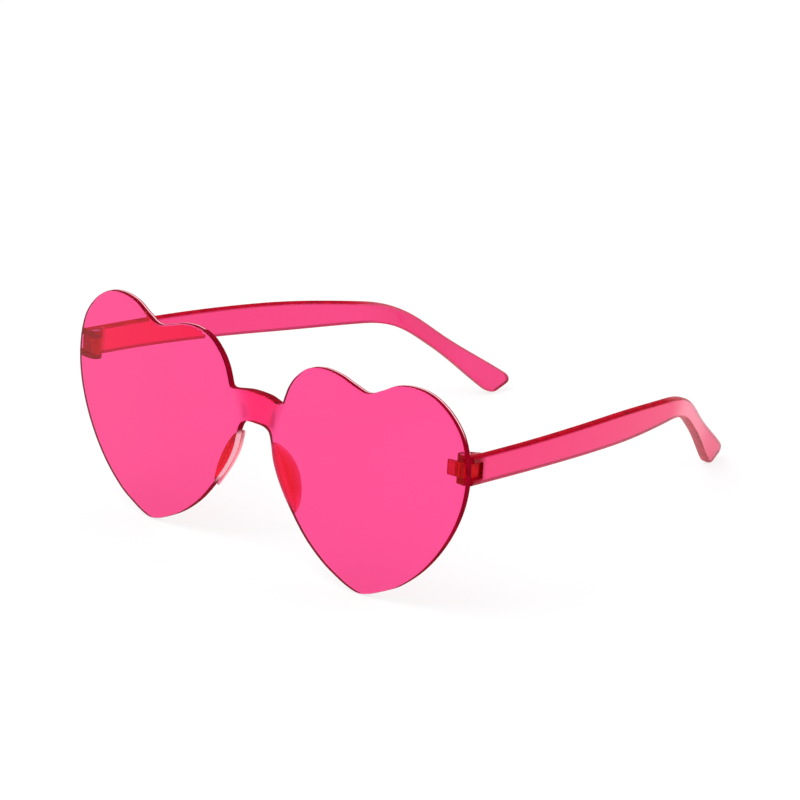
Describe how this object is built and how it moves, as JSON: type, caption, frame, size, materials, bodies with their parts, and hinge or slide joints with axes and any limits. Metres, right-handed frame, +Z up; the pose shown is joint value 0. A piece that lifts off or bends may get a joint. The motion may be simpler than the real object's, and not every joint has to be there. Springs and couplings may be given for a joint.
{
  "type": "sunglasses",
  "caption": "heart shaped sunglasses of clear pink plastic: one curved sheet cut to two hearts, with nose pads and flat folding temples",
  "frame": {"origin": "on the table that the open sunglasses rest on, below the middle of their bounding box", "axes": "+X to the right of someone who looks at the front from before it, which is the wearer's left, +Y from the front back towards the ears, +Z up; left and right in the names are as seen from before the front, and the open sunglasses stand on the points of the hearts and the ends of the temples"},
  "size_m": [0.148, 0.1364, 0.0582],
  "materials": {
    "pink_sheet": "clear pink polycarbonate sheet, polished on both faces",
    "pink_pad": "clear pink polycarbonate, polished",
    "red_hinge": "clear deep pink polycarbonate that looks red where it is thick",
    "pink_temple": "clear pink polycarbonate, polished",
    "steel": "plain small screw, slotted head"
  },
  "bodies": {
    "front": {"lens_front": "pink_sheet", "nose_pad_left": "pink_pad", "nose_pad_right": "pink_pad", "hinge_tongue_left": "red_hinge", "hinge_tongue_right": "red_hinge"},
    "temple_left": {"temple_left": "pink_temple", "hinge_screw_left": "steel"},
    "temple_right": {"temple_right": "pink_temple", "hinge_screw_right": "steel"}
  },
  "joints": [
    {"name": "temple_left_fold", "type": "hinge", "parent": "front", "child": "temple_left", "pos_m": [-0.0698, -0.05752, 0.03947], "axis": [0, -0.1004, -0.9949], "range_deg": [0, 69]},
    {"name": "temple_right_fold", "type": "hinge", "parent": "front", "child": "temple_right", "pos_m": [0.0698, -0.05752, 0.03947], "axis": [0, 0.1004, 0.9949], "range_deg": [0, 75]}
  ]
}
